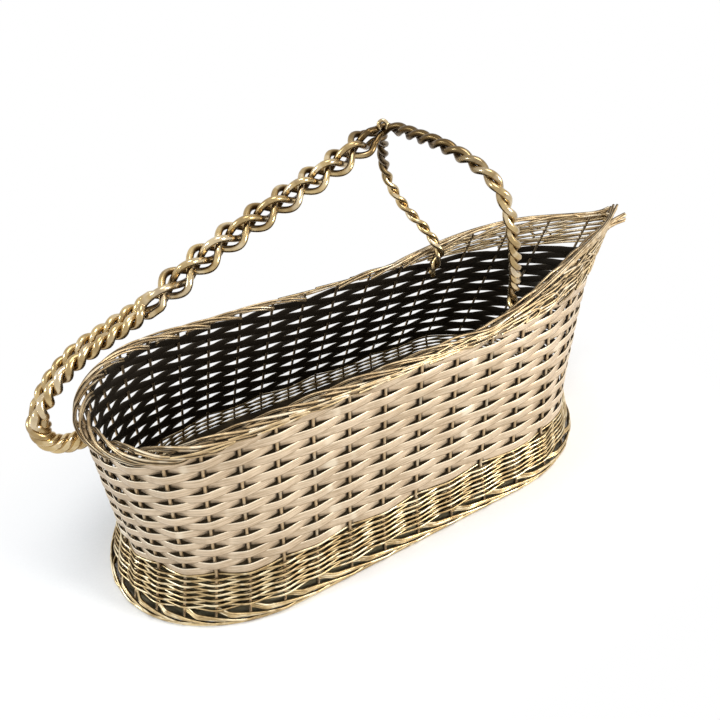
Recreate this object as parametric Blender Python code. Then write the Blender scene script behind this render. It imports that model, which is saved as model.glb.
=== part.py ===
"""Wine bottle basket of woven metal, in metres, +Z up, the pouring lip towards +X.

Upright stakes stand in a flat foot ring. Flat strips are woven round them above the waist and
wires below it, a plaited border closes the top, and four tapering strands make the handle:
a twisted hoop over the bottle, an open braid, and two twisted ropes that meet behind.
"""
import math

import bpy
import numpy as np

MM = 0.001

# The middle of the foot lies this far from the middle of the whole length
FOOT_X = -14.16

# Foot, waist and rim outlines, as half lengths, half widths and end lengths
FOOT = dict(half_length=134.0, half_width=59.0, end=72.0)
WAIST = dict(half_length=121.5, half_width=53.5, end=59.0)
RIM_REAR, RIM_REAR_END, RIM_REAR_WIDTH = 119.5, 36.5, 41.0
RIM_FRONT_X, RIM_FRONT_WIDTH, RIM_TIP_X, RIM_TIP_POWER = 40.0, 38.0, 164.0, 1.8
WAIST_Z, RIM_Z, LIP_RISE = 28.0, 95.0, 13.0
LIP_START_X, LIP_LENGTH = 48.0, 80.0

# Stakes, and the upright foot band that carries them
STAKES_PER_SIDE = 18
STAKE_BUNCHING = 0.085
STAKE_RADIUS = 0.75
GAP = 0.3
RING_INSET, RING_WIDTH, RING_HEIGHT = 1.7, 1.6, 5.6

# Flat strips above the waist; two rows part behind to let the handle in
STRIP_PITCH, STRIP_WIDTH, STRIP_THICKNESS = 3.6, 3.3, 0.5
FULL_ROWS, FRONT_ROWS = 17, 5
LIP_PITCH, LIP_WIDTH = 2.5, 2.2
PARTED_ROWS = (14, 15)

# Wires of the skirt, the foot and the border
SKIRT_WIRES, SKIRT_PITCH, SKIRT_TOP_Z, SKIRT_RADIUS = 9, 2.2, 26.6, 0.9
FOOT_WIRE_RADIUS, FOOT_WIRE_Z, FOOT_WIRE_STEPS = 1.1, (1.4, 4.2), 48
BORDER_RADIUS, BORDER_REACH, BORDER_HEIGHT = 0.9, 1.45, 5.2
BORDER_TURNS, BORDER_STEPS, BORDER_END = 10, 56, 0.978
PRONG_STEP = (3.6, 0.0, 0.0)

# Floor plate that the bottle lies on
FLOOR_Z, FLOOR_THICKNESS, FLOOR_INSET = 20.0, 1.2, 3.0

# Handle strands, thin in the hoop and thick behind
HOOP_RADIUS, BRAID_RADIUS, ROPE_RADIUS, ENTRY_RADIUS = 1.2, 1.4, 1.55, 1.35
HOOP_REACH, ROPE_REACH, ROPE_SPREAD = 0.3, 1.9, 3.75
BRAID_OUTER, BRAID_INNER, BRAID_CROSSINGS = 4.8, 1.6, 16
HOOP_PITCH, MERGE_LENGTH, ROPE_TURNS = 18.2, 12.0, 4.5
ENTRY_HALF, ENTRY_TURNS = 1.75, 0.5
LEG_STEP, BRAID_STEP, REAR_STEP = 2.3, 2.2, 1.9

NEAR_LEG = [(67.0, -32.6, 84.0), (69.2, -31.0, 91.0), (69.8, -29.0, 98.0), (65.8, -33.6, 108.6),
            (56.5, -42.6, 122.8), (48.8, -48.6, 138.3), (40.1, -51.8, 157.0), (35.5, -45.5, 167.2),
            (33.4, -25.0, 171.8), (33.8, 0.0, 171.6), (34.6, 13.5, 170.6), (32.0, 19.6, 169.8)]
FAR_LEG = [(67.0, 32.6, 84.0), (69.2, 31.0, 91.0), (69.8, 29.0, 98.0), (65.6, 34.2, 108.4),
           (57.5, 43.0, 121.0), (50.5, 46.0, 134.0), (44.8, 42.4, 146.8), (39.8, 34.5, 157.2),
           (36.0, 27.8, 163.2), (31.0, 23.6, 166.0)]
BRAID = [(24.5, 21.0, 166.6), (8.7, 17.0, 161.5), (-17.6, 12.8, 153.4), (-42.0, 8.4, 146.2),
         (-62.5, 4.2, 139.0), (-80.4, 0.0, 131.2)]
REAR = [(-80.4, 0.0, 131.2), (-101.0, 0.0, 123.4), (-111.0, 0.0, 119.4), (-118.3, 0.0, 114.8),
        (-124.8, 0.0, 109.3), (-130.0, 0.0, 103.0), (-133.3, 0.0, 96.3), (-134.2, 0.0, 90.2),
        (-132.3, 0.0, 85.2), (-128.3, 0.0, 82.6), (-123.5, 0.0, 82.0), (-114.5, 0.0, 81.9)]

# Colour, roughness and metallic value of each part's metal
PALE_GOLD = ((0.74, 0.60, 0.46, 1.0), 0.38, 1.0)
OLD_GOLD = ((0.60, 0.44, 0.22, 1.0), 0.30, 1.0)
ROPE_GOLD = ((0.66, 0.47, 0.24, 1.0), 0.26, 1.0)
PLATE_GREY = ((0.45, 0.42, 0.34, 1.0), 0.42, 1.0)


def clear_scene():
    for item in list(bpy.data.objects):
        bpy.data.objects.remove(item, do_unlink=True)


def make_material(name, look):
    colour, roughness, metallic = look
    material = bpy.data.materials.new(name)
    material.use_nodes = True
    shader = material.node_tree.nodes["Principled BSDF"]
    shader.inputs["Base Color"].default_value = colour
    shader.inputs["Roughness"].default_value = roughness
    shader.inputs["Metallic"].default_value = metallic
    material.diffuse_color = colour
    return material


def smooth_step(value):
    value = np.clip(value, 0.0, 1.0)
    return value * value * (3.0 - 2.0 * value)


def stadium_half(half_length, half_width, end, inset=0.0, steps=90):
    """Half of an oval with straight sides, from its rear pole to its front pole."""
    half_length, half_width, end = half_length - inset, half_width - inset, end - inset
    turn = np.linspace(0.0, math.pi / 2, steps)
    rear = np.stack([-half_length + end - end * np.cos(turn), half_width * np.sin(turn)], 1)
    front = np.stack([half_length - end + end * np.sin(turn), half_width * np.cos(turn)], 1)
    return np.concatenate([rear, front])


def rim_half(steps=90):
    """Half of the rim's plan: a round rear, long sides and a pointed lip."""
    turn = np.linspace(0.0, math.pi / 2, steps)
    rear_centre = RIM_REAR_END - RIM_REAR
    rear = np.stack([rear_centre - RIM_REAR_END * np.cos(turn), RIM_REAR_WIDTH * np.sin(turn)], 1)
    along = np.linspace(0.0, 1.0, steps)[1:]
    side_x = rear_centre + (RIM_FRONT_X - rear_centre) * along
    side_y = RIM_REAR_WIDTH + (RIM_FRONT_WIDTH - RIM_REAR_WIDTH) * smooth_step(along)
    front_x = RIM_FRONT_X + (RIM_TIP_X - RIM_FRONT_X) * along
    front_y = RIM_FRONT_WIDTH * (1.0 - along ** RIM_TIP_POWER)
    return np.concatenate([rear, np.stack([side_x, side_y], 1), np.stack([front_x, front_y], 1)])


def rim_height(x):
    rise = np.clip((x - LIP_START_X) / LIP_LENGTH, 0.0, 1.0)
    return RIM_Z + LIP_RISE * np.sin(math.pi / 2 * rise) ** 1.15


def at_share(outline, share):
    """The point of a half outline at a share of its length."""
    steps = np.linalg.norm(np.diff(outline, axis=0), axis=1)
    length = np.concatenate([[0.0], np.cumsum(steps)])
    return np.array([np.interp(share * length[-1], length, outline[:, i]) for i in (0, 1)])


FOOT_LINE = stadium_half(**FOOT, inset=RING_INSET + RING_WIDTH / 2)
WAIST_LINE = stadium_half(**WAIST)
RIM_LINE = rim_half()


def outline_point(share, z):
    """The middle of the weave at a signed share of the half outline and a height."""
    side = -1.0 if share < 0 else 1.0
    share = abs(share)
    waist = at_share(WAIST_LINE, share)
    if z >= WAIST_Z:
        rim = at_share(RIM_LINE, share)
        height = (z - WAIST_Z) / (rim_height(rim[0]) - WAIST_Z)
        spot = waist + (rim - waist) * height
    else:
        foot = at_share(FOOT_LINE, share)
        spot = waist + (foot - waist) * (WAIST_Z - z) / WAIST_Z
    return np.array([spot[0], side * spot[1], z])


def stake_share(index):
    """The signed share of a stake: near side first, closer together round the rear."""
    place = index if index < STAKES_PER_SIDE else 2 * STAKES_PER_SIDE - 1 - index
    even = (place + 0.5) / STAKES_PER_SIDE
    share = even - STAKE_BUNCHING * math.sin(math.pi * even)
    return -share if index < STAKES_PER_SIDE else share


SHARES = [stake_share(index) for index in range(2 * STAKES_PER_SIDE)]
NUMBERED = list(enumerate(SHARES))
STOPS = NUMBERED[:STAKES_PER_SIDE] + [(None, 1.0)] + NUMBERED[STAKES_PER_SIDE:]


def outward(share, z):
    """The level direction out of the basket at a share."""
    step = 0.004
    side = -1.0 if share < 0 else 1.0
    low, high = max(abs(share) - step, 0.0005), min(abs(share) + step, 0.9995)
    along = outline_point(side * high, z) - outline_point(side * low, z)
    normal = np.array([-along[1], along[0], 0.0]) * side
    return normal / np.linalg.norm(normal)


def lean(share, z):
    """How far the weave leans in, in radians from upright."""
    rise = outline_point(share, z + 1.0) - outline_point(share, z)
    return math.atan2(-float(rise @ outward(share, z)), 1.0)


def to_world(point):
    return ((point[0] + FOOT_X) * MM, point[1] * MM, point[2] * MM)


def profile(name, width, height):
    """A closed rectangle that strips take as their section."""
    curve = bpy.data.curves.new(name, "CURVE")
    curve.dimensions = "2D"
    spline = curve.splines.new("POLY")
    spline.points.add(3)
    corners = [(-1, -1), (-1, 1), (1, 1), (1, -1)]
    for point, (x, y) in zip(spline.points, corners):
        point.co = (x * width * MM / 2, y * height * MM / 2, 0.0, 1.0)
    spline.use_cyclic_u = True
    guide = bpy.data.objects.new(name, curve)
    guide.hide_render = True
    guide.display_type = "WIRE"
    GUIDES.objects.link(guide)
    return guide


def add_spline(curve, points, closed, radii=None, tilts=None):
    spline = curve.splines.new("POLY")
    spline.points.add(len(points) - 1)
    for index, point in enumerate(points):
        spline.points[index].co = (*to_world(point), 1.0)
        if radii is not None:
            spline.points[index].radius = radii[index]
        if tilts is not None:
            spline.points[index].tilt = tilts[index]
    spline.use_cyclic_u = closed


def new_curve(name, look, radius=0.0, sides=4, section=None):
    curve = bpy.data.curves.new(name, "CURVE")
    curve.dimensions = "3D"
    curve.twist_mode = "Z_UP" if section else "MINIMUM"
    curve.use_fill_caps = True
    if section:
        curve.bevel_mode = "OBJECT"
        curve.bevel_object = section
    else:
        curve.bevel_depth = radius * MM
        curve.bevel_resolution = (sides - 4) // 2
    curve.materials.append(make_material(name, look))
    piece = bpy.data.objects.new(name, curve)
    BASKET.objects.link(piece)
    return piece


def to_mesh(piece):
    """Turn a curve object into a mesh with its caps welded."""
    import bmesh
    graph = bpy.context.evaluated_depsgraph_get()
    mesh = bpy.data.meshes.new_from_object(piece.evaluated_get(graph))
    work = bmesh.new()
    work.from_mesh(mesh)
    bmesh.ops.remove_doubles(work, verts=work.verts, dist=0.000001)
    work.to_mesh(mesh)
    work.free()
    solid = bpy.data.objects.new(piece.name + "_solid", mesh)
    solid.matrix_world = piece.matrix_world
    for group in piece.users_collection:
        group.objects.link(solid)
    name = piece.name
    bpy.data.objects.remove(piece)
    solid.name = name
    return solid


def flat_plate(name, look, sizes, insets, z, thickness):
    """A level plate, or a ring where a second inset gives its inner edge."""
    curve = bpy.data.curves.new(name, "CURVE")
    curve.dimensions = "2D"
    curve.fill_mode = "BOTH"
    curve.extrude = thickness * MM / 2
    curve.materials.append(make_material(name, look))
    for inset in insets:
        half = stadium_half(**sizes, inset=inset, steps=13)
        both = np.concatenate([half * (1, -1), half[-2:0:-1]])
        add_spline(curve, [(x, y, 0.0) for x, y in both], True)
    plate = bpy.data.objects.new(name, curve)
    plate.location.z = (z + thickness / 2) * MM
    BASKET.objects.link(plate)
    bpy.context.view_layer.update()
    return to_mesh(plate)


def make_stake_frame():
    """All the stakes, joined to the upright band that they stand in."""
    edges = (RING_INSET, RING_INSET + RING_WIDTH)
    ring = flat_plate("foot_ring", OLD_GOLD, FOOT, edges, 0.0, RING_HEIGHT)
    stakes = new_curve("stakes", OLD_GOLD, STAKE_RADIUS)
    for share in SHARES:
        rim_x = at_share(RIM_LINE, abs(share))[0]
        top = rim_height(rim_x) - BORDER_HEIGHT
        levels = [RING_HEIGHT / 2, WAIST_Z, top]
        add_spline(stakes.data, [outline_point(share, z) for z in levels], False)
    stakes = to_mesh(stakes)
    union = ring.modifiers.new("stakes", "BOOLEAN")
    union.operation = "UNION"
    union.object = stakes
    GUIDES.objects.link(stakes)
    BASKET.objects.unlink(stakes)
    stakes.hide_render = True
    stakes.display_type = "WIRE"
    ring.name = "stake_frame"


def woven_points(z, offset, parity, stops):
    """A point outside or inside each stake in turn, and one on the line at the lip's fold.

    Where the line bends or the stakes are close, the point stands further off its stake.
    """
    line = [outline_point(share, z) for index, share in stops]
    points = []
    for place, (index, share) in enumerate(stops):
        if index is None:
            points.append(line[place])
            continue
        normal = outward(share, z)
        steps = [line[other] - line[place] for other in (place - 1, place + 1)
                 if 0 <= other < len(line)]
        slant = max((abs(step @ normal) + 2 * offset) / np.linalg.norm(step) for step in steps)
        side = 1.0 if (index + parity) % 2 else -1.0
        points.append(line[place] + side * offset / math.sqrt(1.0 - slant ** 2) * normal)
    return points


def make_strip(name, row, z, stops, closed, section):
    offset = STAKE_RADIUS + GAP + STRIP_THICKNESS / 2
    strip = new_curve(name, PALE_GOLD, section=section)
    tilts = [-lean(share, z) for index, share in stops]
    add_spline(strip.data, woven_points(z, offset, row, stops), closed, tilts=tilts)


def make_strips():
    section = profile("strip_section", STRIP_THICKNESS, STRIP_WIDTH)
    for row in range(FULL_ROWS):
        z = WAIST_Z + STRIP_PITCH * (row + 0.5)
        make_strip(f"weave_strip_{row + 1:02d}", row, z, STOPS, row not in PARTED_ROWS, section)
    lip_section = profile("lip_section", STRIP_THICKNESS, LIP_WIDTH)
    for number in range(FRONT_ROWS):
        z = WAIST_Z + STRIP_PITCH * FULL_ROWS + LIP_PITCH * (number + 0.5)
        stops = [(index, share) for index, share in STOPS
                 if rim_height(at_share(RIM_LINE, abs(share))[0]) - BORDER_HEIGHT
                 > z + LIP_WIDTH / 2 + GAP]
        row = FULL_ROWS + number
        make_strip(f"lip_strip_{number + 1}", row, z, stops, False, lip_section)


def make_woven_wire(name, look, z, radius, parity):
    wire = new_curve(name, look, radius)
    offset = STAKE_RADIUS + GAP + radius
    add_spline(wire.data, woven_points(z, offset, parity, STOPS), True)


def make_skirt():
    for row in range(SKIRT_WIRES):
        z = SKIRT_TOP_Z - SKIRT_PITCH * row
        make_woven_wire(f"skirt_wire_{row + 1:02d}", OLD_GOLD, z, SKIRT_RADIUS, row)
    for row, z in enumerate(FOOT_WIRE_Z):
        reach = RING_WIDTH / 2 + FOOT_WIRE_RADIUS + 2 * GAP
        shares = [2.0 * (step + 0.5) / FOOT_WIRE_STEPS - 1.0 for step in range(FOOT_WIRE_STEPS)]
        points = [outline_point(share, 0.0) + reach * outward(share, 0.0) + np.array([0, 0, z])
                  for share in shares]
        wire = new_curve(f"foot_wire_{row + 1}", OLD_GOLD, FOOT_WIRE_RADIUS)
        add_spline(wire.data, points, True)


def make_border():
    """Three wires laid into a rope along the rim, with open ends at the lip."""
    for strand in range(3):
        points = []
        for step in range(BORDER_STEPS + 1):
            share = BORDER_END * (2.0 * step / BORDER_STEPS - 1.0)
            angle = math.tau * (BORDER_TURNS * step / BORDER_STEPS + strand / 3)
            rim_z = rim_height(at_share(RIM_LINE, abs(share))[0])
            centre = outline_point(share, rim_z)
            centre = centre + BORDER_REACH * math.cos(angle) * outward(share, rim_z)
            centre[2] += BORDER_REACH * (math.sin(angle) - 1.0) - BORDER_RADIUS
            points.append(centre)
        prong = np.array(PRONG_STEP)
        points = [points[0] + 2 * prong, points[0] + prong] + points
        points = points + [points[-1] + prong, points[-1] + 2 * prong]
        wire = new_curve(f"border_wire_{strand + 1}", OLD_GOLD, BORDER_RADIUS)
        add_spline(wire.data, points, False)


def make_floor():
    flat_plate("floor_plate", PLATE_GREY, WAIST, (FLOOR_INSET,), FLOOR_Z, FLOOR_THICKNESS)


def through(controls, beyond=None, steps=40):
    """A smooth curve through control points, as evenly spaced points about 0.5 mm apart."""
    controls = np.array(controls, float)
    if beyond is None:
        beyond = 2 * controls[-1] - controls[-2]
    ends = np.concatenate([[2 * controls[0] - controls[1]], controls, [beyond]])
    path = []
    for before, start, end, after in zip(ends, ends[1:], ends[2:], ends[3:]):
        for share in np.arange(steps) / steps:
            bend = (2 * before - 5 * start + 4 * end - after) * share ** 2
            twist = (-before + 3 * start - 3 * end + after) * share ** 3
            path.append(0.5 * (2 * start + (end - before) * share + bend + twist))
    path.append(controls[-1])
    path = np.array(path)
    length = np.concatenate([[0.0], np.cumsum(np.linalg.norm(np.diff(path, axis=0), axis=1))])
    even = np.linspace(0.0, length[-1], max(int(length[-1] / 0.5), 2))
    return np.stack([np.interp(even, length, path[:, i]) for i in range(3)], 1)


def carried_frames(path, first_side):
    """A side and an upper direction along a path, carried on without twist."""
    along = np.gradient(path, axis=0)
    along /= np.linalg.norm(along, axis=1)[:, None]
    sides, side = [], np.array(first_side, float)
    for heading in along:
        side = side - heading * (side @ heading)
        side = side / np.linalg.norm(side)
        sides.append(side)
    sides = np.array(sides)
    return sides, np.cross(sides, along)


def turned(side, upper, angle, reach):
    return reach[:, None] * (np.cos(angle)[:, None] * side + np.sin(angle)[:, None] * upper)


def handle_strand(leg, start_angle, hand):
    """The centre line and radii of one strand, from its foot in the hoop to the rear entry.

    In the braid each strand runs on a flattened round, so that it lies outside at every other
    crossing. The pair of a leg meets the braid on these rounds, and parts in the same way behind.
    """
    braid_path = through(BRAID)
    braid_side, braid_upper = carried_frames(braid_path, (0.0, 1.0, 0.0))
    outer_half, inner_half = BRAID_OUTER / 2, BRAID_INNER / 2
    pair_start, pair_turn = math.hypot(outer_half, inner_half), math.atan2(BRAID_OUTER, BRAID_INNER)
    pair = 1.0 if leg is NEAR_LEG else -1.0
    shift = pair * (inner_half * braid_upper[0] - outer_half * braid_side[0])
    leg_path = through(leg + [tuple(braid_path[0] + shift)], beyond=braid_path[18] + shift)
    back_side, back_upper = carried_frames(leg_path[::-1], braid_side[0])
    leg_side, leg_upper = back_side[::-1], -back_upper[::-1]
    far = np.linspace(0.0, 1.0, len(leg_path))
    left = 0.5 * (len(leg_path) - 1) * (1.0 - far)
    open_up = smooth_step(1.0 - left / MERGE_LENGTH)
    leg_radius = HOOP_RADIUS + (BRAID_RADIUS - HOOP_RADIUS) * smooth_step(far)
    reach = (leg_radius + HOOP_REACH) * (1 - open_up) + pair_start * open_up
    second = (start_angle // 90) % 2 == 1
    base = pair_turn if (pair > 0) == second else pair_turn + math.pi
    angle = base - math.tau * np.maximum(left - MERGE_LENGTH, 0.0) / HOOP_PITCH
    leg_line = leg_path + turned(leg_side, leg_upper, angle, reach)

    share = np.linspace(0.0, 1.0, len(braid_path))
    azimuth = math.radians(start_angle) + hand * math.pi / 2 * BRAID_CROSSINGS * share
    lean_angle = math.radians(45.0 if hand > 0 else 135.0)
    long_way = BRAID_OUTER * np.cos(azimuth - lean_angle)
    short_way = BRAID_INNER * np.sin(azimuth - lean_angle)
    across = long_way * math.cos(lean_angle) - short_way * math.sin(lean_angle)
    above = long_way * math.sin(lean_angle) + short_way * math.cos(lean_angle)
    braid_line = braid_path + across[:, None] * braid_side + above[:, None] * braid_upper
    braid_radius = np.full(len(share), BRAID_RADIUS)

    rear_path = through(REAR)
    rear_side, rear_upper = carried_frames(rear_path, (0.0, 1.0, 0.0))
    share = np.linspace(0.0, 1.0, len(rear_path))
    last = math.degrees(azimuth[-1]) % 360.0
    side_sign = 1.0 if round(last / 90.0) % 4 in (0, 3) else -1.0
    outer = 1.0 if round(last / 90.0) % 4 in (0, 1) else -1.0
    part = smooth_step(share / 0.12)
    meet = smooth_step((share - 0.65) / 0.12)
    spread = outer_half * (1 - part) + ROPE_SPREAD * part * (1 - meet) + ENTRY_HALF * meet
    sideways = side_sign * spread
    upwards = -side_sign * inner_half * (1 - part)
    pair_reach = pair_start * (1 - part) + ROPE_REACH * part
    pair_reach = pair_reach * (1 - meet) + ENTRY_HALF * meet
    turning = np.clip((share - 0.05) / 0.61, 0.0, 1.0)
    pair_angle = pair_turn + (math.tau * ROPE_TURNS + math.pi / 2 - pair_turn) * turning
    whole_angle = math.tau * ENTRY_TURNS * np.clip((share - 0.73) / 0.2, 0.0, 1.0)
    across = sideways + outer * pair_reach * np.cos(pair_angle)
    above = upwards + outer * pair_reach * np.sin(pair_angle)
    turn_across = across * np.cos(whole_angle) - above * np.sin(whole_angle)
    turn_above = across * np.sin(whole_angle) + above * np.cos(whole_angle)
    rear_line = rear_path + turn_across[:, None] * rear_side + turn_above[:, None] * rear_upper
    rear_radius = BRAID_RADIUS + (ROPE_RADIUS - BRAID_RADIUS) * part
    rear_radius = rear_radius * (1 - meet) + ENTRY_RADIUS * meet

    parts = [(leg_line, leg_radius, LEG_STEP), (braid_line, braid_radius, BRAID_STEP),
             (rear_line, rear_radius, REAR_STEP)]
    return spaced(parts)


def spaced(parts):
    """Join stretches of one strand, each with its points about one step apart."""
    line, radius = [], []
    for points, sizes, step in parts:
        count = round(0.5 * (len(points) - 1) / step)
        keep = np.round(np.linspace(0, len(points) - 1, count + 1)).astype(int)
        line.append(points[keep[:-1]])
        radius.append(sizes[keep[:-1]])
    return np.concatenate(line + [points[-1:]]), np.concatenate(radius + [sizes[-1:]])


def make_handle():
    """Two strands of the near leg, then two of the far leg."""
    plans = [(NEAR_LEG, 180.0, 1.0), (NEAR_LEG, 90.0, -1.0),
             (FAR_LEG, 0.0, 1.0), (FAR_LEG, 270.0, -1.0)]
    for number, plan in enumerate(plans, 1):
        line, radius = handle_strand(*plan)
        strand = new_curve(f"handle_strand_{number}", ROPE_GOLD, 1.0)
        add_spline(strand.data, line, False, radii=radius)


clear_scene()
BASKET = bpy.data.collections.new("wine_bottle_basket")
GUIDES = bpy.data.collections.new("cutters")
bpy.context.scene.collection.children.link(BASKET)
bpy.context.scene.collection.children.link(GUIDES)
make_stake_frame()
make_strips()
make_skirt()
make_border()
make_floor()
make_handle()
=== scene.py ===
"""Wine bottle basket of woven metal: the dressed model, its stage and its camera.

Flat strips are woven round the stakes, fine wires make the skirt, the lip and the laid border,
and four strands make the handle. Lengths are in millimetres from the middle of the foot; they
become metres, in the model's frame, where a mesh is made.
"""
import math

import bpy
import numpy as np
from bpy.props import (BoolProperty, FloatProperty, FloatVectorProperty, IntProperty,
                       PointerProperty)
from mathutils import Matrix, Vector


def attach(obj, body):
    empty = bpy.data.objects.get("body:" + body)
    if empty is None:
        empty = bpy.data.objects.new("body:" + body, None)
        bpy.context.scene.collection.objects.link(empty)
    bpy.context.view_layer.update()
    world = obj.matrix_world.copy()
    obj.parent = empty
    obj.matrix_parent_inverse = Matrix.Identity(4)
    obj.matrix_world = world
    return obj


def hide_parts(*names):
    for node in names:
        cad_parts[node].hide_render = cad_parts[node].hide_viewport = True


bl_info = {
    "name": "Wine Bottle Basket",
    "version": (1, 0, 0),
    "blender": (4, 5, 0),
    "location": "3D View > Sidebar > Basket",
    "description": "Builds a woven metal bottle basket with a roped and braided handle",
    "category": "Add Mesh",
}

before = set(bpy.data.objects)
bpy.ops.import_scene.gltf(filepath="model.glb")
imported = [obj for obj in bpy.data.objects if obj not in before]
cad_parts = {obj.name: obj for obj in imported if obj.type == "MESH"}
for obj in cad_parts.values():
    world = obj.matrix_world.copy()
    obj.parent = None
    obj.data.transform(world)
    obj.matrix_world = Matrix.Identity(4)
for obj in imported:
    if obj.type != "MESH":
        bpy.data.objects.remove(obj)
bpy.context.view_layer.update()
MM = 0.001

# Outlines of the foot, the waist and the rim, as in the model, where FOOT_X is the foot's middle
FOOT_X = -14.16
FOOT = dict(half_length=134.0, half_width=59.0, end=72.0)
WAIST = dict(half_length=121.5, half_width=53.5, end=59.0)
RIM_REAR, RIM_REAR_END, RIM_REAR_WIDTH = 119.5, 36.5, 41.0
RIM_FRONT_X, RIM_FRONT_WIDTH, RIM_TIP_X, RIM_TIP_POWER = 40.0, 38.0, 164.0, 1.8
WAIST_Z, RIM_Z, LIP_RISE = 28.0, 95.0, 13.0
LIP_START_X, LIP_LENGTH = 48.0, 80.0
STAKES_PER_SIDE, STAKE_BUNCHING = 18, 0.085
ROUND = 2 * STAKES_PER_SIDE
RING_MIDDLE = 2.5
STRIP_PITCH, FULL_ROWS, PARTED_ROWS = 3.6, 17, (14, 15)
STRIPS_TOP = WAIST_Z + STRIP_PITCH * FULL_ROWS
SKIRT_NODES, SKIRT_ROWS, SKIRT_PITCH, SKIRT_TOP_Z = 9, 14, 1.44, 27.2

# The weave's finer sizes. A path faces away from its core, which is far inside for a wall wire
FAR_INSIDE = 20.0
# STRIP_SHADE is painted shade on a strip where it passes behind a stake; STAKE_SHADE is painted
# shade on the stakes above the waist, so that below it they stay pale as painted light in the
# skirt.
STRIP_EASE, STRIP_PINCH, STRIP_SHADE, STRIP_CORNER = 0.12, 0.2, 0.82, 0.17
STAKE_FOOT, STAKE_BELOW_RIM, STAKE_SHADE, SKIRT_STAKE = 1.0, 3.2, 0.42, 0.85
BAND_INSET, BAND_THICKNESS, BAND_CORNER = 1.25, 0.9, 0.3
SCALLOP_TOP, SCALLOP_REACH = 8.4, 2.35
BORDER_CORE = 2.8
LIP_STAKES, LIP_WIRES = range(10, 16), range(-3, 11)
PRONGS = ((166.5, 1.0, 109.6), (170.5, -4.0, 104.8), (165.0, 2.6, 107.6))

# Handle: centre lines and the lay of its strands, as in the model
HOOP_RADIUS, BRAID_RADIUS, ROPE_RADIUS, ENTRY_RADIUS = 1.3, 1.4, 1.52, 1.6
HOOP_REACH, ROPE_REACH, ROPE_SPREAD, ENTRY_HALF = 0.02, 1.54, 3.65, 1.66
BRAID_OUTER, BRAID_INNER, BRAID_CROSSINGS, BRAID_ROLL = 5.2, 1.6, 16, -7.0
OUTER_HALF, INNER_HALF = BRAID_OUTER / 2, BRAID_INNER / 2
PAIR_REACH, PAIR_TURN = math.hypot(OUTER_HALF, INNER_HALF), math.atan2(BRAID_OUTER, BRAID_INNER)
HOOP_PITCHES, MERGE_LENGTH, ROPE_TURNS, ENTRY_TURNS = (20.5, 16.6), 5.5, 4.5, 1.6
# JOINT_SHADE is painted shade, a darker reflection, on the hoop's legs near the braid.
JOINT_SHADE = 0.68
NEAR_LEG = [(67.0, -32.6, 84.0), (69.2, -31.0, 91.0), (69.8, -29.0, 98.0), (65.8, -33.6, 108.6),
            (56.5, -42.6, 122.8), (48.8, -48.6, 138.3), (40.1, -51.8, 157.0), (35.5, -45.5, 167.2),
            (33.4, -25.0, 171.8), (33.8, 0.0, 171.6), (34.6, 13.5, 170.6), (32.0, 19.6, 169.8)]
FAR_LEG = [(67.0, 32.6, 84.0), (69.2, 31.0, 91.0), (69.8, 29.0, 98.0), (65.6, 34.2, 108.4),
           (57.5, 43.0, 121.0), (50.5, 46.0, 134.0), (44.8, 42.4, 146.8), (39.8, 34.5, 157.2),
           (36.0, 27.8, 163.2), (31.0, 23.6, 166.0)]
BRAID = [(24.5, 21.0, 166.6), (8.7, 17.0, 161.5), (-17.6, 12.8, 153.4), (-42.0, 8.4, 146.2),
         (-62.5, 4.2, 139.0), (-80.4, 0.0, 131.2)]
REAR = [(-80.4, 0.0, 131.2), (-101.0, 0.0, 123.4), (-111.0, 0.0, 119.4), (-118.3, 0.0, 114.8),
        (-124.8, 0.0, 109.3), (-130.0, 0.0, 103.0), (-133.3, 0.0, 96.3), (-134.2, 0.0, 90.2),
        (-132.3, 0.0, 85.2), (-128.3, 0.0, 82.6), (-123.5, 0.0, 82.0), (-117.5, 0.0, 81.9)]
EYE_CENTRE, EYE_RADIUS, EYE_WIRE = (30.5, 17.8, 172.0), 1.85, 0.8
EYE_SIDE, EYE_UPPER = (0.87, -0.49, 0.0), (0.0, 0.2, 0.98)

# Stage, in metres. A lamp has its place, its size, its share of the power and its colour
LAMPS = {"right_lamp": ((0.66, -0.80, 0.38), 0.30, 1.0, (1.0, 0.98, 0.94)),
         "left_lamp": ((-0.85, 0.10, 0.55), 0.16, 0.37, (0.78, 0.89, 1.0)),
         "high_lamp": ((0.05, -0.25, 1.05), 0.45, 0.45, (1.0, 1.0, 1.0))}
LAMP_TARGET = (0.0, 0.0, 0.06)
FLOOR_HALF, FLOOR_Z, FLOOR_TURNS_WHITE = 3.0, -0.0002, (0.060, 0.145)
# Painted shadow under the basket: where it fades out from the foot's axis, and its golden-tinted
# colour.
PAINTED_SHADOW_REACH, PAINTED_SHADOW_COLOUR = (0.050, 0.0565), (0.20, 0.165, 0.09)
CAMERA_SPOT = (-117.46, -210.3, 240.2)
CAMERA_ANGLES = {"yaw": 26.9, "pitch": 35.7, "roll": -3.7}
WHITE = (1.0, 1.0, 1.0, 1.0)
RELIEF = 0.00004


# ---------------------------------------------------------------- outlines

def smooth_step(value):
    value = np.clip(value, 0.0, 1.0)
    return value * value * (3.0 - 2.0 * value)


def stadium_half(half_length, half_width, end, inset=0.0, steps=90):
    """Half of an oval with straight sides, from its rear pole to its front pole."""
    half_length, half_width, end = half_length - inset, half_width - inset, end - inset
    turn = np.linspace(0.0, math.pi / 2, steps)
    rear = np.stack([-half_length + end - end * np.cos(turn), half_width * np.sin(turn)], 1)
    front = np.stack([half_length - end + end * np.sin(turn), half_width * np.cos(turn)], 1)
    return np.concatenate([rear, front])


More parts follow.
